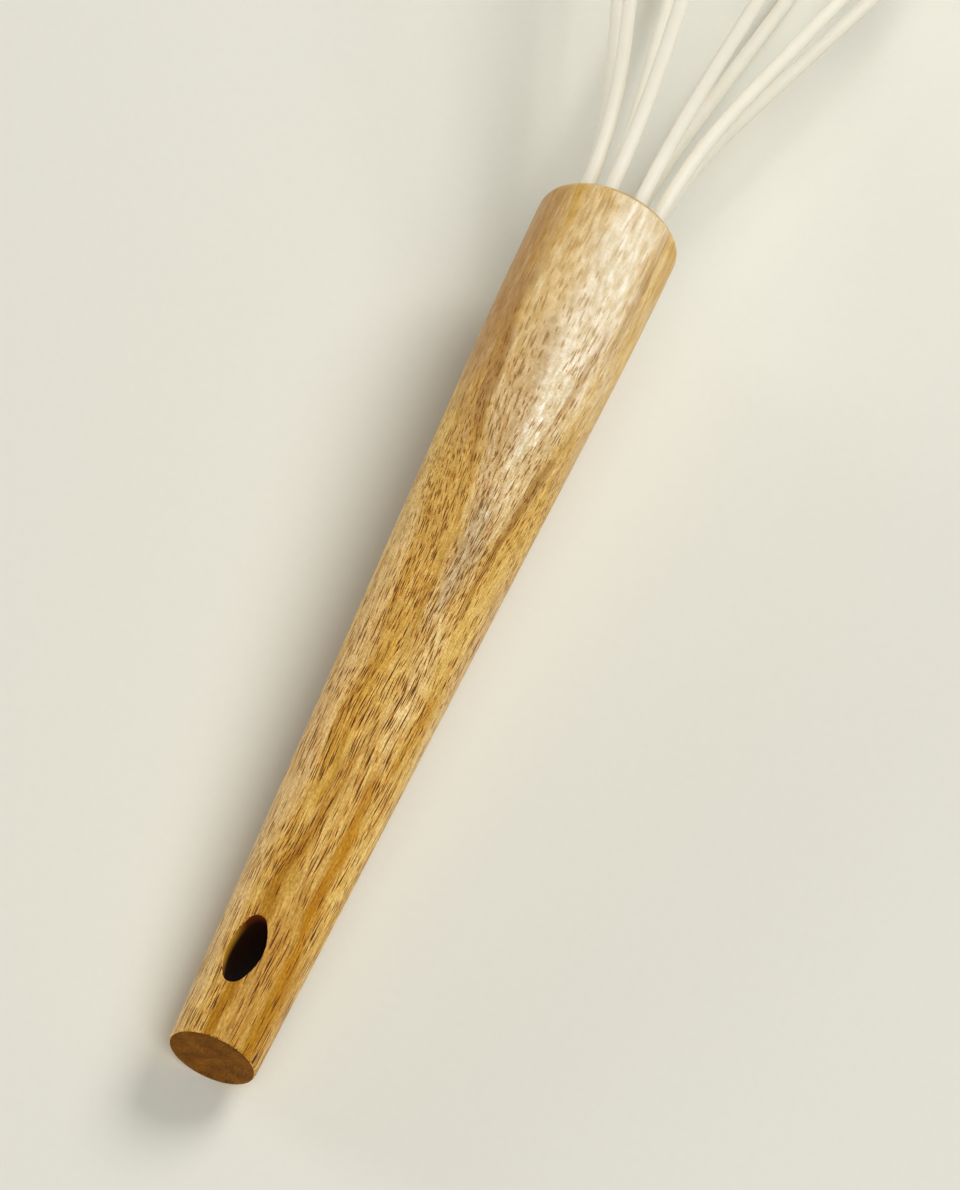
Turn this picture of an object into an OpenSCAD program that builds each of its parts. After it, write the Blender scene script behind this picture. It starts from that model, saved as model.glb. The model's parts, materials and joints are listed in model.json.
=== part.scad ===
// Balloon whisk: a turned wooden handle that holds four silicone-covered wire loops.
// The whisk lies on a surface at z = 0, on the rim of the butt and on its two lowest strands.
// +X runs from the butt to the tip of the balloon, and +Z is up.

/* [Handle] */
// Length of the wooden handle
handle_len = 160; // [120:1:220]
// Diameter at the butt
butt_d = 13.6; // [11:0.1:18]
// Diameter at the end that holds the loops
head_d = 23.3; // [21:0.1:32]
// Radius of the long arc that eases the taper into the head
swell_r = 950; // [500:10:2000]
// Rounding of the rim at the head
rim_r = 1.8; // [0.6:0.1:2.4]
// Edge break round the butt
butt_edge = 0.5; // [0.2:0.1:1.2]

/* [Hanging hole] */
// Width of the oval hole
hole_w = 5.5; // [3.5:0.1:7]
// Length of the oval hole, along the handle
hole_len = 11.6; // [9:0.1:16]
// Radius of the oval's two ends
hole_end_r = 1.6; // [1:0.1:1.7]
// Distance from the butt to the middle of the hole
hole_x = 15; // [12:0.5:40]
// Turn of the hole about the handle, from straight up toward +Y
hole_roll = 20; // [0:1:45]

/* [Socket] */
// Diameter of the socket bored in the head
socket_d = 16.2; // [15.6:0.1:17.4]
// Depth of the socket
socket_depth = 38; // [30:1:60]
// Bevel at the mouth of the socket
mouth_edge = 0.4; // [0.2:0.1:1]
// Depth of the wire guide's face below the end of the handle
guide_recess = 2; // [1:0.5:4]
// Thickness of the wire guide
guide_len = 8; // [4:0.5:12]

/* [Wires] */
// Diameter over the silicone
strand_d = 2.3; // [1.8:0.1:2.6]
// Diameter of the spring steel core
core_d = 1.4; // [0.9:0.1:1.5]
// Diameter of the circle on which the strands leave the handle
ring_d = 12.8; // [12:0.1:13.2]
// Length of silicone held in the resin behind the guide
sleeve_hold = 5; // [2:0.5:10]
// Wood and resin left beyond the ends of the cores
core_stop = 4; // [2:0.5:8]

/* [Balloon] */
// Width of the balloon over the silicone
balloon_d = 63.3; // [54:0.1:76]
// Outward bend of a strand as it leaves the guide
flare_r = 105; // [80:1:140]
// Angle between the handle and the straight part of a strand
flare_angle = 18; // [14:0.5:21]
// Radius of the widest stretch of a loop
bulge_r = 55; // [48:1:66]
// Distance from the widest point to the tip, on the outermost loop
crown_len = 45; // [43:0.5:46]

/* [Fits] */
// Gap all round between the guide or the resin and the socket
seat_gap = 0.05; // [0.02:0.01:0.2]
// Gap all round a strand in its hole in the guide
guide_gap = 0.1; // [0.05:0.01:0.3]
// Gap all round a core in its sleeve, and round both in the resin
bond_gap = 0.05; // [0.02:0.01:0.1]
// Gap between two loops where they cross at the tip
cross_gap = 0.3; // [0.1:0.05:0.6]
// Length by which one stretch of a loop runs into the next
splice_lap = 0.05; // [0.02:0.01:0.1]
// Difference in diameter between a stretch and the ones that run into it
splice_step = 0.02; // [0.01:0.01:0.04]

/* [Hidden] */

$fn = 96;
// Facets of the long arcs
long_arc_fn = 720;
// Steps along each side and each end of the oval hole
hole_side_steps = 16;
hole_end_steps = 8;
// Overrun of every cut past its face
overrun = 1;

// Number of loops, evenly spread, and the angle between two neighbours
loop_count = 4;
loop_step = 180 / loop_count;
// The two lowest strands straddle the lowest line of the whisk
low_angle = loop_step / 2;

// Handle: the taper is the line from the butt that touches the swell arc
butt_r = butt_d / 2;
head_r = head_d / 2;
swell_at = [head_r - swell_r, handle_len];
butt_from_swell = [butt_r, 0] - swell_at;
touch_angle = atan2(butt_from_swell.y, butt_from_swell.x) + acos(swell_r / norm(butt_from_swell));
shoulder = swell_at + swell_r * [cos(touch_angle), sin(touch_angle)];
taper = (shoulder.x - butt_r) / shoulder.y;
// Centre of the rim's rounding, which touches the swell arc and the end face
rim_sink = asin(rim_r / (swell_r - rim_r));
rim_at = swell_at + (swell_r - rim_r) * [cos(rim_sink), -sin(rim_sink)];
rim_start = handle_len - swell_r * sin(rim_sink);

// Oval hole: two side arcs that run into the two end arcs
hole_end_x = hole_len / 2 - hole_end_r;
hole_side_r = (pow(hole_end_x, 2) + pow(hole_w / 2, 2) - pow(hole_end_r, 2))
    / (hole_w - 2 * hole_end_r);
hole_side_y = hole_side_r - hole_w / 2;
hole_side_turn = asin(hole_end_x / (hole_side_r - hole_end_r));

// Stations along the handle's axis
guide_x = handle_len - guide_recess;
resin_x = guide_x - guide_len;
socket_x = handle_len - socket_depth;
sleeve_x = resin_x - sleeve_hold;
core_x = socket_x + core_stop;

// One half of a loop: leg, flare arc, straight, bulge arc, and its half of the crown
leg_y = ring_d / 2;
bulge_y = (balloon_d - strand_d) / 2;
flare_end_x = guide_x + flare_r * sin(flare_angle);
flare_end_y = leg_y + flare_r * (1 - cos(flare_angle));
bulge_start_y = bulge_y - bulge_r * (1 - cos(flare_angle));
straight_len = (bulge_start_y - flare_end_y) / sin(flare_angle);
bulge_x = flare_end_x + straight_len * cos(flare_angle) + bulge_r * sin(flare_angle);
bulge_off = bulge_r - bulge_y;

// Tip, crown radius and the angle where crown and bulge meet, for each loop from the outside in
function crown_rise(k) = crown_len - k * (strand_d + cross_gap);
function crown_r(k) = (pow(bulge_r, 2) - pow(bulge_off, 2) - pow(crown_rise(k), 2))
    / (2 * (bulge_r - crown_rise(k)));
function crown_x(k) = bulge_x + crown_rise(k) - crown_r(k);
function crown_angle(k) = atan2(bulge_off, crown_x(k) - bulge_x);

// Angle of a loop's plane from straight up, and the order in which the loops nest
nest_order = [2, 0, 3, 1];
function loop_angle(k) = low_angle + k * loop_step;

// Slope at which the butt's rim and the two lowest strands stand at one height
low_share = cos(low_angle);
function lie_slope(steps, slope = 0) = steps == 0 ? slope : lie_slope(steps - 1,
    (bulge_r * sqrt(pow(slope, 2) + pow(low_share, 2)) - bulge_off * low_share
        + strand_d / 2 * sqrt(1 + pow(slope, 2)) - butt_r - butt_edge * taper)
    / (bulge_x - butt_edge));
lie_angle = atan(lie_slope(12));
rest_z = (butt_r + butt_edge * taper) * cos(lie_angle) - butt_edge * sin(lie_angle);

// Ends of the whisk along X once it lies down, and the shift that centres it over the origin
tip_loop_angle = loop_angle(search(0, nest_order)[0]);
tip_reach = sqrt(pow(cos(lie_angle), 2) + pow(sin(lie_angle) * cos(tip_loop_angle), 2));
front_x = crown_x(0) * cos(lie_angle) + crown_r(0) * tip_reach + strand_d / 2;
back_x = -(butt_r - butt_edge) * sin(lie_angle);
centre_x = (front_x + back_x) / 2;

// Moves what is drawn along +X, from the butt, to where the whisk lies
module lying() {
    translate([-centre_x, 0, rest_z]) rotate([0, -lie_angle, 0]) children();
}

// Revolves an outline of radius and length about the handle's axis
module turned() {
    rotate([0, 90, 0]) rotate_extrude() children();
}

module handle_outline() {
    polygon([
        [0, 0], [butt_r - butt_edge, 0], [butt_r + butt_edge * taper, butt_edge],
        shoulder, [0, shoulder.y]
    ]);
    intersection() {
        translate(swell_at) circle(swell_r, $fn = long_arc_fn);
        translate([0, shoulder.y]) square([head_r, rim_start - shoulder.y]);
    }
    translate([0, shoulder.y]) square([rim_at.x, handle_len - shoulder.y]);
    intersection() {
        translate(rim_at) circle(rim_r);
        translate([0, rim_start]) square([head_r, rim_r + overrun]);
    }
}

module socket_outline() {
    translate([0, socket_x]) square([socket_d / 2, socket_depth + overrun]);
    polygon([
        [0, handle_len - mouth_edge], [socket_d / 2, handle_len - mouth_edge],
        [socket_d / 2 + mouth_edge + overrun, handle_len + overrun], [0, handle_len + overrun]
    ]);
}

// Points along an arc, both ends included
function arc(centre, r, from_angle, to_angle, steps) = [
    for (i = [0 : steps]) let (a = from_angle + (to_angle - from_angle) * i / steps)
        centre + r * [cos(a), sin(a)]
];

module hole_outline() {
    turn = hole_side_turn;
    polygon(concat(
        arc([0, -hole_side_y], hole_side_r, 90 - turn, 90 + turn, hole_side_steps),
        arc([-hole_end_x, 0], hole_end_r, 90 + turn, 270 - turn, hole_end_steps),
        arc([0, hole_side_y], hole_side_r, 270 - turn, 270 + turn, hole_side_steps),
        arc([hole_end_x, 0], hole_end_r, 270 + turn, 450 - turn, hole_end_steps)
    ));
}

module handle() {
    color("peru") lying() difference() {
        turned() difference() {
            handle_outline();
            socket_outline();
        }
        rotate([-hole_roll, 0, 0]) translate([hole_x, 0, 0])
            linear_extrude(head_d, center = true) hole_outline();
    }
}

// Puts a copy at each strand, round the handle's axis
module at_strands() {
    for (k = [0 : 2 * loop_count - 1])
        rotate([low_angle + k * loop_step, 0, 0]) translate([0, 0, leg_y]) children();
}

// A rod along the handle's axis, from one station to another
module rod(from_x, to_x, d) {
    translate([from_x, 0, 0]) rotate([0, 90, 0]) cylinder(h = to_x - from_x, d = d);
}

module wire_guide() {
    color("ivory") lying() difference() {
        rod(resin_x, guide_x, socket_d - 2 * seat_gap);
        at_strands() rod(resin_x - overrun, guide_x + overrun, strand_d + 2 * guide_gap);
    }
}

module potting_resin() {
    color("goldenrod") lying() difference() {
        rod(socket_x, resin_x, socket_d - 2 * seat_gap);
        at_strands() {
            rod(sleeve_x, resin_x + overrun, strand_d + 2 * bond_gap);
            rod(core_x, sleeve_x + overrun, core_d + 2 * bond_gap);
        }
    }
}

// The round section of a loop, with its bore if it has one, thinned all over by half the step
module section(d, bore, step = 0) {
    difference() {
        circle(d = d - step, $fn = 32);
        if (bore > 0) circle(d = bore + step, $fn = 32);
    }
}

// A straight stretch of a section along +X
module stretch(len) {
    rotate([0, 90, 0]) linear_extrude(len) children();
}

// A section swept round an arc in the plane of the loop
module bend(r, from_angle, to_angle) {
    rotate([0, 0, from_angle]) rotate_extrude(angle = to_angle - from_angle, $fn = long_arc_fn)
        translate([r, 0]) children();
}

// A whole loop, from one leg over the tip and back to the other.
// The legs, the straights and the crown are the thinner stretches, which run into the arcs between.
module loop_path(k, leg_x, d, bore = 0) {
    crown_end = crown_angle(k) + splice_lap / crown_r(k) * 180 / PI;
    for (side = [0, 1]) mirror([0, side, 0]) {
        translate([leg_x, leg_y, 0])
            stretch(guide_x + splice_lap - leg_x) section(d, bore, splice_step);
        translate([guide_x, leg_y + flare_r, 0])
            bend(flare_r, -90, flare_angle - 90) section(d, bore);
        translate([flare_end_x, flare_end_y, 0]) rotate([0, 0, flare_angle])
            translate([-splice_lap, 0, 0])
            stretch(straight_len + 2 * splice_lap) section(d, bore, splice_step);
        translate([bulge_x, -bulge_off, 0])
            bend(bulge_r, crown_angle(k), 90 + flare_angle) section(d, bore);
    }
    translate([crown_x(k), 0, 0]) bend(crown_r(k), -crown_end, crown_end) section(d, bore, splice_step);
}

// Stands a loop in its own plane about the handle's axis
module in_loop_plane(k) {
    rotate([loop_angle(k) - 90, 0, 0]) children();
}

module loop_core(k) {
    color("silver") lying() in_loop_plane(k) loop_path(nest_order[k], core_x, core_d);
}

module loop_sleeve(k) {
    color("antiquewhite") lying() in_loop_plane(k)
        loop_path(nest_order[k], sleeve_x, strand_d, core_d + 2 * bond_gap);
}

handle();
wire_guide();
potting_resin();
loop_core(0);  // loop_core_1
loop_core(1);  // loop_core_2
loop_core(2);  // loop_core_3
loop_core(3);  // loop_core_4
loop_sleeve(0);  // loop_sleeve_1
loop_sleeve(1);  // loop_sleeve_2
loop_sleeve(2);  // loop_sleeve_3
loop_sleeve(3);  // loop_sleeve_4
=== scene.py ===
"""A balloon whisk: a turned wooden handle that holds four silicone-covered wire loops.

It lies on a pale floor, on the rim of its butt and on its two lowest strands.
+X runs from the butt to the tip of the balloon, and +Z is up.
"""

import json
import math

import bmesh
import bpy
from mathutils import Matrix, Vector


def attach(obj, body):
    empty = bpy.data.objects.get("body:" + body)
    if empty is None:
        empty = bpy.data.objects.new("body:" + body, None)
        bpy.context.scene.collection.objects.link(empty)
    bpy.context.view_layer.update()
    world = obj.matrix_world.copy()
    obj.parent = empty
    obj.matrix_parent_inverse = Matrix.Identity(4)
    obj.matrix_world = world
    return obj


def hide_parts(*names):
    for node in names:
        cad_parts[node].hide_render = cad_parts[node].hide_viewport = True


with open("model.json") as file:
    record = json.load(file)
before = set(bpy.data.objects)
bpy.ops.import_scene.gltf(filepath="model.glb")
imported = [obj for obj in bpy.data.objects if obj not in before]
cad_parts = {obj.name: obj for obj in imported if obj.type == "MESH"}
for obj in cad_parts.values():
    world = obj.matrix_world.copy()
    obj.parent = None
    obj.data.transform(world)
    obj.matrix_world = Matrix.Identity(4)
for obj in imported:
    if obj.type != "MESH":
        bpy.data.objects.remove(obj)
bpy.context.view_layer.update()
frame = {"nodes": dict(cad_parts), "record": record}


# Handle
# Turned from one blank of acacia, sanded and oiled. It tapers from the head, which is bored
# for the loops, to a narrow butt with an oval hole across it to hang the whisk by.

MM = 0.001
HANDLE_LEN = 160 * MM
BUTT_R = 6.8 * MM
HEAD_R = 11.65 * MM
# Radius of the long arc that eases the taper into the head
SWELL_R = 950 * MM
RIM_R = 1.8 * MM
BUTT_EDGE_R = 0.5 * MM
SOCKET_R = 8.1 * MM
SOCKET_DEPTH = 38 * MM
MOUTH_EDGE = 0.4 * MM
HOLE_X = 15 * MM
HOLE_HALF_W = 2.75 * MM
HOLE_HALF_LEN = 5.8 * MM
HOLE_END_R = 1.6 * MM
HOLE_ROLL = math.radians(20)
HOLE_EDGE_R = 0.25 * MM
# Stretch of the handle's side that is remade round each mouth of the hole
WINDOW_HALF_LEN = 8.5 * MM
WINDOW_HALF_ANGLE = math.radians(42)
# What lies deeper than this below the turned surface takes the end grain and the painted hole shade
SKIN_DEPTH = 0.2 * MM

# Points closer than this are one, and an edge that turns more than this stays sharp
WELD_GAP = 0.002 * MM
SHARP_TURN = math.radians(35)

TURN_STEPS = 144
BUTT_STEPS = 5
TAPER_STEPS = 102
SWELL_STEPS = 24
RIM_STEPS = 8
FACE_STEPS = 2
SOCKET_STEPS = 6
SOCKET_FLOOR_STEPS = 3
MOUTH_CUTS = 6
WALL_CUTS = 10

butt_mount = next(m for m in frame["record"]["mounts"] if m["name"] == "butt_face")
along = -Vector(butt_mount["axis"]).normalized()
sideways = Vector((0, 1, 0))
upright = Matrix((along, sideways, along.cross(sideways))).transposed().to_4x4()
whisk_at = Matrix.Translation(butt_mount["pos_m"]) @ upright

# The taper is the line from the butt that touches the swell
swell_drop = SWELL_R - HEAD_R
shoulder_turn = math.atan2(BUTT_R + swell_drop, -HANDLE_LEN)
shoulder_turn -= math.acos(SWELL_R / math.hypot(BUTT_R + swell_drop, HANDLE_LEN))
shoulder_x = HANDLE_LEN + SWELL_R * math.cos(shoulder_turn)
shoulder_y = SWELL_R * math.sin(shoulder_turn) - swell_drop
taper = (shoulder_y - BUTT_R) / shoulder_x


def straight(bm, section, move, steps=1):
    """Draws a section straight on in even steps, and returns its leading end."""
    step = Vector(move) / steps
    drawn = bmesh.ops.spin(bm, geom=section, axis=(0, 0, 1), angle=0, dvec=step, steps=steps)
    return drawn["geom_last"]


def bent(bm, section, centre, turn, steps):
    """Draws a section round a centre in the XY plane, and returns its leading end."""
    drawn = bmesh.ops.spin(bm, geom=section, cent=(*centre, 0), axis=(0, 0, 1), angle=turn, steps=steps)
    return drawn["geom_last"]


def handle_outline(bm):
    """Draws the outline that is turned, from the middle of the butt to that of the socket's floor."""
    taper_turn = math.atan(taper)
    rim_sink = math.asin(RIM_R / (SWELL_R - RIM_R))
    edge_y = BUTT_R + taper * BUTT_EDGE_R - BUTT_EDGE_R / math.cos(taper_turn)
    rim_y = (SWELL_R - RIM_R) * math.cos(rim_sink) - swell_drop
    line = straight(bm, [bm.verts.new((0, 0, 0))], (0, edge_y, 0), BUTT_STEPS)
    line = bent(bm, line, (BUTT_EDGE_R, edge_y), taper_turn - math.pi / 2, BUTT_STEPS)
    line = straight(bm, line, Vector((shoulder_x, shoulder_y, 0)) - line[0].co, TAPER_STEPS)
    line = bent(bm, line, (HANDLE_LEN, -swell_drop), math.pi / 2 + rim_sink - shoulder_turn, SWELL_STEPS)
    line = bent(bm, line, (HANDLE_LEN - RIM_R, rim_y), -math.pi / 2 - rim_sink, RIM_STEPS)
    line = straight(bm, line, (0, SOCKET_R + MOUTH_EDGE - rim_y, 0), FACE_STEPS)
    line = straight(bm, line, (-MOUTH_EDGE, -MOUTH_EDGE, 0))
    line = straight(bm, line, (MOUTH_EDGE - SOCKET_DEPTH, 0, 0), SOCKET_STEPS)
    straight(bm, line, (0, -SOCKET_R, 0), SOCKET_FLOOR_STEPS)


def hole_reach(turn):
    """Distance from the middle of the oval hole to its edge, at an angle from the handle's axis."""
    end_x = HOLE_HALF_LEN - HOLE_END_R
    side_r = (end_x ** 2 + HOLE_HALF_W ** 2 - HOLE_END_R ** 2) / (2 * (HOLE_HALF_W - HOLE_END_R))
    side_y = side_r - HOLE_HALF_W
    c, s = abs(math.cos(turn)), abs(math.sin(turn))
    reach = math.sqrt(side_r ** 2 - (side_y * c) ** 2) - side_y * s
    touch_x = end_x * side_r / (side_r - HOLE_END_R)
    if reach * c <= touch_x:
        return reach
    return end_x * c + math.sqrt(HOLE_END_R ** 2 - (end_x * s) ** 2)


def open_mouth(bm, window, side):
    """Fills a window in the handle's side round one mouth of the hole, and returns the mouth's edges."""
    mouth_verts = bmesh.ops.create_circle(bm, segments=len(window), radius=1)["verts"]
    for i, vert in enumerate(mouth_verts):
        turn = math.tau * (i + 0.5) / len(mouth_verts)
        x = HOLE_X + hole_reach(turn) * math.cos(turn)
        y = hole_reach(turn) * math.sin(turn)
        vert.co = (x, y, side * math.sqrt((BUTT_R + taper * x) ** 2 - y ** 2))
    mouth = [edge for edge in bm.edges if edge.is_wire]
    rungs = bmesh.ops.bridge_loops(bm, edges=window + mouth)["edges"]
    cut = bmesh.ops.subdivide_edges(bm, edges=rungs, cuts=MOUTH_CUTS, use_grid_fill=True)
    for vert in [item for item in cut["geom_inner"] if isinstance(item, bmesh.types.BMVert)]:
        out = (BUTT_R + taper * vert.co.x) / math.hypot(vert.co.y, vert.co.z)
        vert.co = (vert.co.x, vert.co.y * out, vert.co.z * out)
    return mouth


def handle_mesh():
    """The turned handle with its hanging hole, with +X along it and the hole's axis along +Z."""
    bm = bmesh.new()
    handle_outline(bm)
    outline = bm.verts[:] + bm.edges[:]
    bmesh.ops.spin(bm, geom=outline, axis=(1, 0, 0), angle=math.tau, steps=TURN_STEPS, use_merge=True)
    bmesh.ops.remove_doubles(bm, verts=bm.verts, dist=WELD_GAP)
    window_faces = []
    for face in bm.faces:
        middle = face.calc_center_median()
        outside = math.hypot(middle.y, middle.z) > BUTT_R
        lengthwise = abs(middle.x - HOLE_X) < WINDOW_HALF_LEN
        if outside and lengthwise and abs(middle.y) < abs(middle.z) * math.tan(WINDOW_HALF_ANGLE):
            window_faces.append(face)
    bmesh.ops.delete(bm, geom=window_faces, context="FACES")
    open_edges = [edge for edge in bm.edges if edge.is_boundary]
    mouths = []
    for side in (1, -1):
        window = [edge for edge in open_edges if side * (edge.verts[0].co.z + edge.verts[1].co.z) > 0]
        mouths += open_mouth(bm, window, side)
    walls = bmesh.ops.bridge_loops(bm, edges=mouths)["edges"]
    bmesh.ops.subdivide_edges(bm, edges=walls, cuts=WALL_CUTS, use_grid_fill=True)
    bmesh.ops.bevel(bm, geom=mouths, offset=HOLE_EDGE_R, offset_type="OFFSET",
                    segments=3, profile=0.5, affect="EDGES", material=-1)
    for face in bm.faces:
        middle = face.calc_center_median()
        skin = min(BUTT_R + taper * middle.x, HEAD_R)
        face.material_index = int(math.hypot(middle.y, middle.z) < skin - SKIN_DEPTH)
    return bm


def link_piece(name, bm, materials, place):
    """Makes an object of a finished bmesh at its place, smooth but for sharp edges, and lets it ride."""
    bmesh.ops.remove_doubles(bm, verts=bm.verts, dist=WELD_GAP)
    bmesh.ops.transform(bm, matrix=place, verts=bm.verts)
    bmesh.ops.recalc_face_normals(bm, faces=bm.faces)
    for face in bm.faces:
        face.smooth = True
    for edge in bm.edges:
        edge.smooth = edge.calc_face_angle(0) < SHARP_TURN
    mesh = bpy.data.meshes.new(name)
    bm.to_mesh(mesh)
    bm.free()
    for material in materials:
        mesh.materials.append(material)
    piece = bpy.data.objects.new(name, mesh)
    bpy.context.scene.collection.objects.link(piece)
    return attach(piece, "root")


def linear(colour):
    """A colour written as sRGB hex, as the linear values that a shader takes."""
    shares = [int(colour[i:i + 2], 16) / 255 for i in (1, 3, 5)]
    return [s / 12.92 if s <= 0.04045 else ((s + 0.055) / 1.055) ** 2.4 for s in shares] + [1]


def feed(tree, node, inputs):
    """Sets a node's live inputs, each found by its name, or by its place where names repeat.

    Each takes a value, an sRGB colour, a socket, or the first live output of a node.
    """
    live = [socket for socket in node.inputs if socket.enabled]
    for key, value in inputs.items():
        socket = live[key] if isinstance(key, int) else next(s for s in live if s.name == key)
        if isinstance(value, bpy.types.Node):
            value = next(output for output in value.outputs if output.enabled)
        if isinstance(value, bpy.types.NodeSocket):
            tree.links.new(value, socket)
        else:
            socket.default_value = linear(value) if isinstance(value, str) else value


def add_node(tree, kind, inputs, **settings):
    """Adds a node with its settings and what feeds it."""
    node = tree.nodes.new("ShaderNode" + kind)
    for name, value in settings.items():
        setattr(node, name, value)
    feed(tree, node, inputs)
    return node


def new_material(name):
    """A material, its nodes, its shader, and the place on a piece: mm along, across and over the whisk.

    A noise laid straight on that place has a scale of cells per mm.
    """
    material = bpy.data.materials.new(name)
    material.use_nodes = True
    tree = material.node_tree
    tree.nodes.clear()
    shader = add_node(tree, "BsdfPrincipled", {})
    add_node(tree, "OutputMaterial", {"Surface": shader})
    level = upright.inverted()
    at = add_node(tree, "Mapping", {
        "Vector": add_node(tree, "TexCoord", {}).outputs["Object"],
        "Scale": (1 / MM,) * 3,
        "Rotation": level.to_euler(),
        "Location": -(level @ whisk_at.translation) / MM,
    })
    return material, tree, shader, at


def acacia_grain(tree, at):
    """The place in the wood along its grain, across it and up, and the same where it is cut short.

    The grain runs straight from the butt, wanders a little, and fans out towards the head. Past
    the middle it rises to the surface, which cuts its cells shorter.
    """
    place = add_node(tree, "SeparateXYZ", {"Vector": at}).outputs
    slow = add_node(tree, "Mapping", {"Vector": at, "Scale": [1 / mm for mm in (20, 8, 8)]})
    wander = add_node(tree, "TexNoise", {"Vector": slow, "Scale": 1.0, "Detail": 2.0})
    across = add_node(tree, "Math", {0: wander, 1: 2.4, 2: place["Y"]}, operation="MULTIPLY_ADD")
    across = add_node(tree, "Math", {0: across, 1: 0.3}, operation="ADD")
    fan = add_node(tree, "MapRange", {
        "Value": place["X"], "From Min": 84.0, "From Max": 142.0, "To Min": 1.0, "To Max": 2.5,
    }, interpolation_type="SMOOTHSTEP")
    across = add_node(tree, "Math", {0: across, 1: fan}, operation="DIVIDE")
    rise = add_node(tree, "MapRange", {
        "Value": place["X"], "From Min": 55.0, "From Max": 160.0, "To Min": 0.0, "To Max": 110.0,
    }, interpolation_type="SMOOTHSTEP")
    run = add_node(tree, "Math", {0: place["X"], 1: rise}, operation="ADD")
    grain = add_node(tree, "CombineXYZ", {"X": place["X"], "Y": across, "Z": place["Z"]})
    cut = add_node(tree, "CombineXYZ", {"X": run, "Y": across, "Z": place["Z"]})
    return grain, cut, place["X"]


# The marks of this blank: where each lies along the grain, across it and over it, and its half
# sizes, both in mm, its colour, its strength, and how far it crowds the vessels together. A few
# also paint light on the left flank, shade on the right flank and part of the highlight on top.
ACACIA_MARKS_AND_PAINTED_SHADING = [
    # Painted light: a pale band that brightens the left flank
    ((40, 8.6, 4), (75, 2.5, 12), "#E0BE82", 0.85, -0.10),
    # Painted shade: a duller band that darkens the right flank, where the key lamp falls
    ((60, -8.8, 5), (90, 2.5, 12), "#D4B27C", 0.85, -0.05),
    ((6, -0.5, 8), (24, 5.6, 9), "#CC9A3E", 0.65, -0.16),
    ((14, 3.3, 8), (36, 1.2, 9), "#B47A0A", 0.85, -0.05),
    ((8, -3.1, 7), (18, 1.0, 9), "#BE860E", 0.80, -0.05),
    ((36, -2.6, 7), (20, 0.9, 9), "#C68A12", 0.85, -0.10),
    ((60, 4.3, 8), (28, 1.3, 9), "#D2A43C", 0.70, 0.05),
    ((95, 4.9, 8), (26, 2.2, 9), "#DCB666", 0.80, 0.15),
    ((150, 4.9, 2), (48, 1.8, 14), "#BC9058", 0.90, -0.05),
    # Pale wood of the head, partly a painted highlight
    ((134, -0.3, 9), (52, 4.5, 10), "#ECD6A8", 0.95, -0.05),
    ((88, -0.3, 9), (13, 1.9, 8), "#CFBA94", 0.80, 0.20),
    # This and the next: pale wood along the top, just right of the middle, partly a painted highlight
    ((66, -2.2, 9), (16, 1.9, 9), "#EED69A", 0.85, 0.05),
    ((107, -2.0, 9), (13, 1.9, 9), "#EEDAAC", 0.75, 0.00),
    ((4, -5.4, 5), (14, 1.2, 9), "#C09452", 0.60, 0.00),
    # Near-white streak of the head, partly a painted highlight
    ((140, -0.8, 9), (42, 2.0, 10), "#FAF0DA", 0.95, -0.10),
    ((114, 1.4, 9), (20, 1.6, 9), "#D6B98A", 0.65, 0.25),
    # Painted shade: darkens the right flank near the head
    ((142, -4.9, 6), (34, 1.2, 9), "#CFAE82", 0.85, -0.10),
    ((122, -2.2, 8), (15, 0.25, 9), "#C69E64", 0.55, 0.00),
    ((145, -2.9, 8), (15, 0.30, 9), "#BE9A68", 0.60, 0.00),
    ((100, -3.8, 7), (20, 0.5, 9), "#B0823C", 0.75, 0.05),
    ((122, 3.8, 8), (26, 0.7, 9), "#AC7C3C", 0.75, 0.05),
]


def acacia_bands(tree, grain):
    """The colour of the bands and marks, with some painted light and shade, and how closely vessels crowd.
    """
    broad = add_node(tree, "Mapping", {"Vector": grain, "Scale": [1 / mm for mm in (40, 2.6, 2.6)]})
    band = add_node(tree, "TexNoise", {"Vector": broad, "Scale": 1.0, "Detail": 3.0, "Roughness": 0.55})
    amber = add_node(tree, "MapRange", {"Value": band, "From Min": 0.40, "From Max": 0.70},
                     interpolation_type="SMOOTHSTEP")
    colour = add_node(tree, "Mix", {"Factor": amber, "A": "#E6C472", "B": "#CB9C3C"}, data_type="RGBA")
    crowd = add_node(tree, "Mapping", {"Vector": grain, "Scale": [1 / mm for mm in (16, 2.6, 2.6)]})
    crowding = add_node(tree, "TexNoise", {"Vector": crowd, "Scale": 1.0, "Detail": 1.0})
    close = add_node(tree, "Mapping", {"Vector": grain, "Scale": [1 / mm for mm in (9, 1.5, 1.5)]})
    ragged = add_node(tree, "TexNoise", {"Vector": close, "Scale": 1.0, "Detail": 3.0, "Roughness": 0.6})
    for centre, half_size, shade, strength, dense in ACACIA_MARKS_AND_PAINTED_SHADING:
        offset = add_node(tree, "Mapping", {"Vector": grain, "Location": centre, "Scale": half_size},
                          vector_type="TEXTURE")
        far = add_node(tree, "VectorMath", {"Vector": offset}, operation="LENGTH")
        edge = add_node(tree, "Math", {0: ragged, 1: 1.4, 2: far}, operation="MULTIPLY_ADD")
        share = add_node(tree, "MapRange", {
            "Value": edge, "From Min": 1.95, "From Max": 1.15, "To Max": strength,
        }, interpolation_type="SMOOTHSTEP")
        colour = add_node(tree, "Mix", {"Factor": share, "A": colour, "B": shade}, data_type="RGBA")
        crowding = add_node(tree, "Math", {0: share, 1: dense, 2: crowding}, operation="MULTIPLY_ADD")
    return colour, crowding


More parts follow.
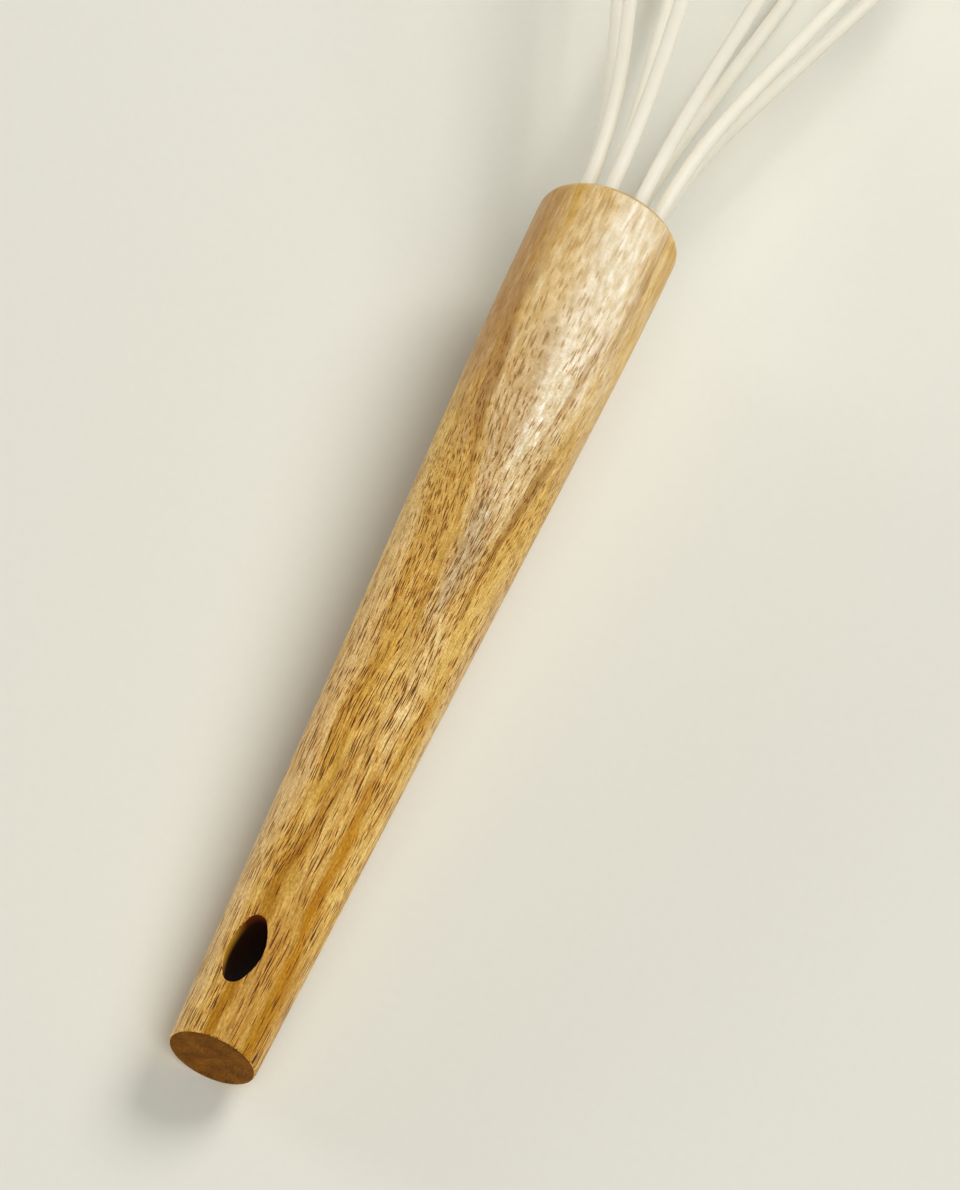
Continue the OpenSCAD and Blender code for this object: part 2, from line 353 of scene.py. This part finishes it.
def acacia_streaks(tree, cut, from_butt, colour):
    """Lays growth lines, fibres, a painted glitter of their cells and the head's curly figure over a
    colour.
    """
    plain = add_node(tree, "MapRange", {
        "Value": from_butt, "From Min": 95.0, "From Max": 135.0, "To Min": 1.0, "To Max": 0.25,
    })
    figured = add_node(tree, "MapRange", {"Value": from_butt, "From Min": 80.0, "From Max": 115.0})
    # Length and width in mm, how much brown a streak takes on at its darkest or gives up at its
    # lightest, and where it shows. Single fibres are too fine to show, so these are bundles.
    streaks = [
        (16, 1.1, 0.20, -0.18, plain),
        (6, 0.26, 0.60, -0.40, plain),
        # Painted glitter: tiny pale and dark flecks that stand in for light catching the cells
        (0.6, 0.24, 0.50, -0.40, plain),
        (5, 0.5, 0.45, -0.12, figured),
    ]
    for length, width, most, least, where in streaks:
        cell = add_node(tree, "Mapping", {"Vector": cut, "Scale": (1 / length, 1 / width, 1 / width)})
        fibre = add_node(tree, "TexNoise", {"Vector": cell, "Scale": 1.0, "Detail": 1.0})
        brown = add_node(tree, "MapRange", {
            "Value": fibre, "From Min": 0.32, "From Max": 0.68, "To Min": most, "To Max": least,
        })
        brown = add_node(tree, "Math", {0: brown, 1: where}, operation="MULTIPLY")
        colour = add_node(tree, "Mix", {"Factor": brown, "A": colour, "B": "#D8C484"},
                          data_type="RGBA", blend_type="MULTIPLY", clamp_factor=False)
    return colour


def acacia_vessels(tree, cut, from_butt, crowding):
    """How far a spot lies in a vessel that is cut open, and in the wood beside one that oil has stained."""
    # The share of cells that hold a vessel, and how plainly those show: less towards the head
    limit = add_node(tree, "MapRange", {
        "Value": crowding, "From Min": 0.28, "From Max": 0.62, "To Min": 0.08, "To Max": 0.80,
    })
    faint = add_node(tree, "MapRange", {
        "Value": from_butt, "From Min": 75.0, "From Max": 145.0, "To Min": 1.0, "To Max": 0.20,
    })
    vessels = 0.0
    stain = 0.0
    # Length and width in mm of the cell that may hold a vessel
    for length, width in ((15, 0.27), (9, 0.25), (5, 0.23)):
        cell = add_node(tree, "Mapping", {"Vector": cut, "Scale": (1 / length, 1 / width, 0.75 / width)})
        near = add_node(tree, "TexVoronoi", {"Vector": cell, "Scale": 1.0})
        lot = add_node(tree, "SeparateColor", {"Color": near.outputs["Color"]})
        drawn = add_node(tree, "Math", {0: lot, 1: limit}, operation="LESS_THAN")
        slit = add_node(tree, "MapRange", {"Value": near, "From Min": 0.34, "From Max": 0.18},
                        interpolation_type="SMOOTHSTEP")
        slit = add_node(tree, "Math", {0: slit, 1: drawn}, operation="MULTIPLY")
        vessels = add_node(tree, "Math", {0: slit, 1: vessels}, operation="MAXIMUM")
        beside = add_node(tree, "MapRange", {"Value": near, "From Min": 0.50, "From Max": 0.24},
                          interpolation_type="SMOOTHSTEP")
        beside = add_node(tree, "Math", {0: beside, 1: drawn}, operation="MULTIPLY")
        stain = add_node(tree, "Math", {0: beside, 1: stain}, operation="MAXIMUM")
    vessels = add_node(tree, "Math", {0: vessels, 1: faint}, operation="MULTIPLY")
    stain = add_node(tree, "Math", {0: stain, 1: faint}, operation="MULTIPLY")
    return vessels, stain


# Oiled acacia gives honey and amber bands a few mm wide, dark lines where its 0.2 mm vessels
# are cut open, fibres that catch the light at a low angle, and a satin surface. Light and shade
# are also painted into its colour: on its flanks, in part of the highlight along its top, and as
# a glitter of fine flecks.
def oiled_acacia():
    material, tree, shader, at = new_material("oiled_acacia")
    grain, cut, from_butt = acacia_grain(tree, at)
    colour, crowding = acacia_bands(tree, grain)
    colour = acacia_streaks(tree, cut, from_butt, colour)
    vessels, stain = acacia_vessels(tree, cut, from_butt, crowding)
    colour = add_node(tree, "Mix", {"Factor": stain, "A": colour, "B": "#FFDC9A"},
                      data_type="RGBA", blend_type="MULTIPLY")
    colour = add_node(tree, "Mix", {"Factor": vessels, "A": colour, "B": "#5A3208"},
                      data_type="RGBA", blend_type="MULTIPLY")
    feed(tree, shader, {
        "Base Color": colour,
        "Roughness": add_node(tree, "MapRange", {
            "Value": crowding, "From Min": 0.3, "From Max": 0.7, "To Min": 0.40, "To Max": 0.52,
        }),
        "Normal": add_node(tree, "Bump", {"Height": vessels, "Distance": 0.05 * MM, "Strength": 0.6},
                           invert=True),
        "IOR": 1.5,
        "Specular IOR Level": 0.15,
        "Diffuse Roughness": 1.0,
        "Sheen Weight": 0.1,
        "Sheen Roughness": 0.35,
        "Sheen Tint": "#FFF0D8",
    })
    return material


# Across the grain the open ends of the cells soak up oil, which leaves the butt brown and
# mottled, with no shine. The walls at the two ends of the hole are red-brown, partly for their
# end grain and partly as painted shade, while those along its sides are gold. Shade is painted
# inside the hole too: all its walls turn nearly black a mm or two below the edge.
# The pale wood of the head stays pale, and so does the socket bored in it.
def end_grain_and_hole_shade():
    material, tree, shader, at = new_material("oiled_end_grain_and_hole_shade")
    # Blotches about 2 mm across, and dots of 0.4 mm
    blotch = add_node(tree, "TexNoise", {"Vector": at, "Scale": 0.45, "Detail": 2.0})
    dots = add_node(tree, "TexNoise", {"Vector": at, "Scale": 2.6, "Detail": 3.0, "Roughness": 0.7})
    mottle = add_node(tree, "Mix", {"Factor": 0.6, "A": blotch, "B": dots})
    share = add_node(tree, "MapRange", {"Value": mottle, "From Min": 0.36, "From Max": 0.64})
    butt = add_node(tree, "Mix", {"Factor": share, "A": "#4E2A00", "B": "#8A5610"}, data_type="RGBA")
    pale = add_node(tree, "Mix", {"Factor": share, "A": "#C8A468", "B": "#E2C894"}, data_type="RGBA")

    # Depth below the turned surface, and distance from the middle of the hole along the handle
    from_butt = add_node(tree, "SeparateXYZ", {"Vector": at}).outputs["X"]
    out = add_node(tree, "VectorMath", {0: at, 1: (0, 1, 1)}, operation="MULTIPLY")
    out = add_node(tree, "VectorMath", {0: out}, operation="LENGTH")
    skin = add_node(tree, "Math", {0: from_butt, 1: taper, 2: BUTT_R / MM}, operation="MULTIPLY_ADD")
    depth = add_node(tree, "Math", {0: skin, 1: out}, operation="SUBTRACT")
    from_middle = add_node(tree, "Math", {0: from_butt, 1: HOLE_X / MM}, operation="SUBTRACT")
    from_middle = add_node(tree, "Math", {0: from_middle}, operation="ABSOLUTE")

    # Painted shade in the hole: its walls turn nearly black from 0.6 to 2.4 mm below the surface
    hole_depth_shade = add_node(tree, "MapRange", {"Value": depth, "From Min": 0.6, "From Max": 2.4})
    endwise = add_node(tree, "MapRange", {"Value": from_middle, "From Min": 2.0, "From Max": 4.5})
    side = add_node(tree, "Mix", {"Factor": hole_depth_shade, "A": "#B07E22", "B": "#1C0802"}, data_type="RGBA")
    end = add_node(tree, "Mix", {"Factor": hole_depth_shade, "A": "#5A240C", "B": "#1C0802"}, data_type="RGBA")
    wall = add_node(tree, "Mix", {"Factor": endwise, "A": side, "B": end}, data_type="RGBA")

    inside = add_node(tree, "MapRange", {"Value": from_butt, "From Min": 1.0, "From Max": 2.0})
    head = add_node(tree, "MapRange", {"Value": from_butt, "From Min": 100.0, "From Max": 101.0})
    colour = add_node(tree, "Mix", {"Factor": inside, "A": butt, "B": wall}, data_type="RGBA")
    colour = add_node(tree, "Mix", {"Factor": head, "A": colour, "B": pale}, data_type="RGBA")
    feed(tree, shader, {
        "Base Color": colour,
        "Roughness": add_node(tree, "MapRange", {
            "Value": dots, "From Min": 0.3, "From Max": 0.7, "To Min": 0.60, "To Max": 0.75,
        }),
        "Normal": add_node(tree, "Bump", {"Height": dots, "Distance": 0.05 * MM, "Strength": 0.5}),
        "IOR": 1.5,
        "Specular IOR Level": 0.1,
        "Diffuse Roughness": 1.0,
    })
    return material


handle = link_piece("turned_handle", handle_mesh(), [oiled_acacia(), end_grain_and_hole_shade()],
                    whisk_at @ Matrix.Rotation(-HOLE_ROLL, 4, "X"))
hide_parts("handle")


# Wire guide
# A moulded nylon disc just inside the mouth of the handle. Its eight holes spread the strands
# into an even ring while the resin behind it sets.

# Moulded nylon is off-white and half matt, with a faint cloudiness.
def moulded_nylon():
    material, tree, shader, at = new_material("moulded_nylon")
    cloud = add_node(tree, "TexNoise", {"Vector": at, "Scale": 2.0, "Detail": 4.0})
    feed(tree, shader, {
        "Base Color": add_node(tree, "Mix", {"Factor": cloud, "A": "#D9D2BD", "B": "#E6E0CE"},
                               data_type="RGBA"),
        "Roughness": add_node(tree, "MapRange", {
            "Value": cloud, "From Min": 0.3, "From Max": 0.7, "To Min": 0.42, "To Max": 0.55,
        }),
        "Normal": add_node(tree, "Bump", {"Height": cloud, "Distance": 0.02 * MM, "Strength": 0.5}),
        "IOR": 1.53,
    })
    return material


def finish_node(name, material):
    """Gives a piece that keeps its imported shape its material."""
    mesh = frame["nodes"][name].data
    mesh.materials.clear()
    mesh.materials.append(material)


finish_node("wire_guide", moulded_nylon())


# Potting resin
# Amber epoxy, poured into the socket behind the guide. It sets round the ends of the cores and
# of their sleeves, and holds the loops in the handle.

# Cast epoxy sets glossy and amber, and clouds a little where it is thick.
def cast_epoxy():
    material, tree, shader, at = new_material("cast_epoxy")
    cloud = add_node(tree, "TexNoise", {"Vector": at, "Scale": 0.3, "Detail": 3.0})
    feed(tree, shader, {
        "Base Color": add_node(tree, "Mix", {"Factor": cloud, "A": "#A8741F", "B": "#D2A350"},
                               data_type="RGBA"),
        "Roughness": add_node(tree, "MapRange", {
            "Value": cloud, "From Min": 0.3, "From Max": 0.7, "To Min": 0.14, "To Max": 0.24,
        }),
        "IOR": 1.55,
    })
    return material


finish_node("potting_resin", cast_epoxy())


# Loop cores
# Drawn spring steel, 1.4 mm thick, bent to a loop. Silicone covers all of it but 19 mm at each
# end, which stays bare for the resin to grip.

LOOP_COUNT = 4


# Drawing leaves fine lines along the wire, which stretch its highlights across it.
def drawn_steel():
    material, tree, shader, at = new_material("drawn_spring_steel")
    lines = add_node(tree, "Mapping", {"Vector": at, "Scale": [1 / mm for mm in (6, 0.08, 0.08)]})
    line = add_node(tree, "TexNoise", {"Vector": lines, "Scale": 1.0, "Detail": 2.0})
    feed(tree, shader, {
        "Base Color": add_node(tree, "Mix", {"Factor": line, "A": "#A9AAAB", "B": "#C4C4C2"},
                               data_type="RGBA"),
        "Roughness": add_node(tree, "MapRange", {
            "Value": line, "From Min": 0.3, "From Max": 0.7, "To Min": 0.25, "To Max": 0.4,
        }),
        "Metallic": 1.0,
    })
    return material


steel = drawn_steel()
for count in range(1, LOOP_COUNT + 1):
    finish_node(f"loop_core_{count}", steel)


# Loop sleeves
# Cream silicone, extruded over each core. The four loops share one shape up to the widest point
# and get shorter from the outermost in, so that they cross at the tip without touching.

STRAND_R = 1.15 * MM
BORE_R = 0.75 * MM
RING_R = 6.4 * MM
GUIDE_X = 158 * MM
SLEEVE_X = 145 * MM
BALLOON_R = 30.5 * MM
FLARE_R = 105 * MM
FLARE_TURN = math.radians(18)
BULGE_R = 55 * MM
CROWN_LEN = 45 * MM
NEST_STEP = 2.6 * MM
NEST_ORDER = (2, 0, 3, 1)
LOOP_STEP = math.pi / LOOP_COUNT

SECTION_STEPS = 28
FLARE_STEPS = 14
BULGE_STEPS = 28
CROWN_STEPS = 48


def draw_loop(bm, radius, nest):
    """Draws one surface of a loop from leg to leg, and returns the edges of its two ends."""
    flare_x = GUIDE_X + FLARE_R * math.sin(FLARE_TURN)
    flare_y = RING_R + FLARE_R * (1 - math.cos(FLARE_TURN))
    side_y = BALLOON_R - BULGE_R * (1 - math.cos(FLARE_TURN)) - flare_y
    side_x = side_y / math.tan(FLARE_TURN)
    bulge_x = flare_x + side_x + BULGE_R * math.sin(FLARE_TURN)
    bulge_y = BALLOON_R - BULGE_R
    rise = CROWN_LEN - nest * NEST_STEP
    crown_r = (BULGE_R ** 2 - bulge_y ** 2 - rise ** 2) / (2 * (BULGE_R - rise))
    crown_x = bulge_x + rise - crown_r
    crown_turn = math.atan2(-bulge_y, crown_x - bulge_x)
    bulge_turn = math.pi / 2 + FLARE_TURN - crown_turn

    across = Matrix.Translation((SLEEVE_X, RING_R, 0)) @ Matrix.Rotation(math.pi / 2, 4, "Y")
    bmesh.ops.create_circle(bm, segments=SECTION_STEPS, radius=radius, matrix=across)
    start = [edge for edge in bm.edges if edge.is_wire]
    end = straight(bm, start, (GUIDE_X - SLEEVE_X, 0, 0))
    end = bent(bm, end, (GUIDE_X, RING_R + FLARE_R), FLARE_TURN, FLARE_STEPS)
    end = straight(bm, end, (side_x, side_y, 0))
    end = bent(bm, end, (bulge_x, bulge_y), -bulge_turn, BULGE_STEPS)
    end = bent(bm, end, (crown_x, 0), -2 * crown_turn, CROWN_STEPS)
    end = bent(bm, end, (bulge_x, -bulge_y), -bulge_turn, BULGE_STEPS)
    end = straight(bm, end, (-side_x, side_y, 0))
    end = bent(bm, end, (GUIDE_X, -RING_R - FLARE_R), FLARE_TURN, FLARE_STEPS)
    end = straight(bm, end, (SLEEVE_X - GUIDE_X, 0, 0))
    return start, [item for item in end if isinstance(item, bmesh.types.BMEdge)]


# Extruded silicone is matt and lets a little light in, so its shadows have soft edges. Its skin
# shows only a faint bloom.
def extruded_silicone():
    material, tree, shader, at = new_material("extruded_silicone")
    bloom = add_node(tree, "TexNoise", {"Vector": at, "Scale": 0.25, "Detail": 3.0})
    skin = add_node(tree, "TexNoise", {"Vector": at, "Scale": 3.0, "Detail": 3.0})
    feed(tree, shader, {
        "Base Color": add_node(tree, "Mix", {"Factor": bloom, "A": "#ECE5D2", "B": "#F4EEDF"},
                               data_type="RGBA"),
        "Roughness": add_node(tree, "MapRange", {
            "Value": skin, "From Min": 0.3, "From Max": 0.7, "To Min": 0.42, "To Max": 0.52,
        }),
        "Normal": add_node(tree, "Bump", {"Height": skin, "Distance": 0.02 * MM, "Strength": 0.4}),
        "IOR": 1.41,
        "Subsurface Weight": 0.15,
        "Subsurface Radius": (0.8, 0.6, 0.4),
        "Subsurface Scale": 1 * MM,
    })
    return material


silicone = extruded_silicone()
for count, nest in enumerate(NEST_ORDER):
    bm = bmesh.new()
    for skin_end, bore_end in zip(draw_loop(bm, STRAND_R, nest), draw_loop(bm, BORE_R, nest)):
        bmesh.ops.bridge_loops(bm, edges=skin_end + bore_end)
    turn = LOOP_STEP * (count + 0.5) - math.pi / 2
    sleeve = link_piece(f"silicone_sleeve_{count + 1}", bm, [silicone],
                        whisk_at @ Matrix.Rotation(turn, 4, "X"))
    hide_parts(f"loop_sleeve_{count + 1}")


# Floor
# A pale, matt sheet of card under the whisk, which fills the view and takes a soft shadow. It
# belongs to the picture, not to the whisk.

FLOOR_HALF = 3.0


# Uncoated card is matt, with a tooth just fine enough to feel, drawn about 1 mm coarse to show.
def uncoated_card():
    material, tree, shader, at = new_material("uncoated_card")
    tooth = add_node(tree, "TexNoise", {"Vector": at, "Scale": 0.8, "Detail": 4.0})
    feed(tree, shader, {
        "Base Color": add_node(tree, "Mix", {"Factor": tooth, "A": "#E3E1D5", "B": "#E7E5D9"},
                               data_type="RGBA"),
        "Roughness": add_node(tree, "MapRange", {
            "Value": tooth, "From Min": 0.3, "From Max": 0.7, "To Min": 0.85, "To Max": 0.95,
        }),
        "Specular IOR Level": 0.2,
    })
    return material


bm = bmesh.new()
bmesh.ops.create_grid(bm, x_segments=1, y_segments=1, size=FLOOR_HALF)
floor_mesh = bpy.data.meshes.new("card_floor")
bm.to_mesh(floor_mesh)
bm.free()
floor_mesh.materials.append(uncoated_card())
floor = bpy.data.objects.new("card_floor", floor_mesh)
bpy.context.scene.collection.objects.link(floor)


# Light
# A soft box beyond the head, a little to the right, throws the shadow towards the butt. A broad
# one above the camera fills it in, and a low one lights the left flank. The pale room around them
# adds a little from all sides, and shows at full strength where it is seen or reflected.

LAMP_AIM = Vector((0.0, 0.0, 0.01))
# Each lamp's name, its direction from the whisk, its distance and width in metres, and its watts
LAMPS = [
    ("key_box", (0.606, -0.283, 0.743), 1.0, 0.60, 6.6),
    ("fill_box", (-0.69, -0.14, 0.71), 1.4, 1.4, 12.6),
    ("side_box", (0.0, 0.98, 0.20), 1.5, 0.54, 6.8),
]
AMBIENT = 0.14

for name, direction, reach, size, watts in LAMPS:
    lamp_data = bpy.data.lights.new(name, "AREA")
    lamp_data.shape = "DISK"
    lamp_data.size = size
    lamp_data.energy = watts
    lamp = bpy.data.objects.new(name, lamp_data)
    towards = Vector(direction).normalized()
    facing = towards.to_track_quat("Z", "Y").to_matrix().to_4x4()
    lamp.matrix_world = Matrix.Translation(LAMP_AIM + towards * reach) @ facing
    bpy.context.scene.collection.objects.link(lamp)

world = bpy.data.worlds.new("pale_room")
world.use_nodes = True
tree = world.node_tree
seen = add_node(tree, "LightPath", {}).outputs
direct = add_node(tree, "Math", {0: seen["Is Camera Ray"], 1: seen["Is Transmission Ray"]},
                  operation="MAXIMUM")
shown = add_node(tree, "Math", {0: direct, 1: seen["Is Glossy Ray"]}, operation="MAXIMUM")
strength = add_node(tree, "MapRange", {"Value": shown, "To Min": AMBIENT, "To Max": 1.0})
feed(tree, tree.nodes["Background"], {"Color": "#E5E3D6", "Strength": strength})
bpy.context.scene.world = world


# Camera
# It looks down along the handle from behind the butt, rolled so that the handle leans right. Its
# place, its aim and its lens were worked out from the outline of the handle in the picture.

CAMERA_AT = Vector((-0.58958, -0.01780, 0.75524))
CAMERA_AIM = Vector((-0.05181, -0.00603, 0.0))
CAMERA_ROLL = math.radians(23.98)
# Both in mm
SENSOR_HEIGHT = 36
LENS = 181.5

camera_data = bpy.data.cameras.new("camera")
camera_data.sensor_fit = "VERTICAL"
camera_data.sensor_height = SENSOR_HEIGHT
camera_data.lens = LENS
camera = bpy.data.objects.new("camera", camera_data)
looking = (CAMERA_AT - CAMERA_AIM).to_track_quat("Z", "Y").to_matrix().to_4x4()
camera.matrix_world = Matrix.Translation(CAMERA_AT) @ looking @ Matrix.Rotation(CAMERA_ROLL, 4, "Z")
bpy.context.scene.collection.objects.link(camera)
bpy.context.scene.camera = camera
bpy.context.scene.view_settings.view_transform = "Standard"
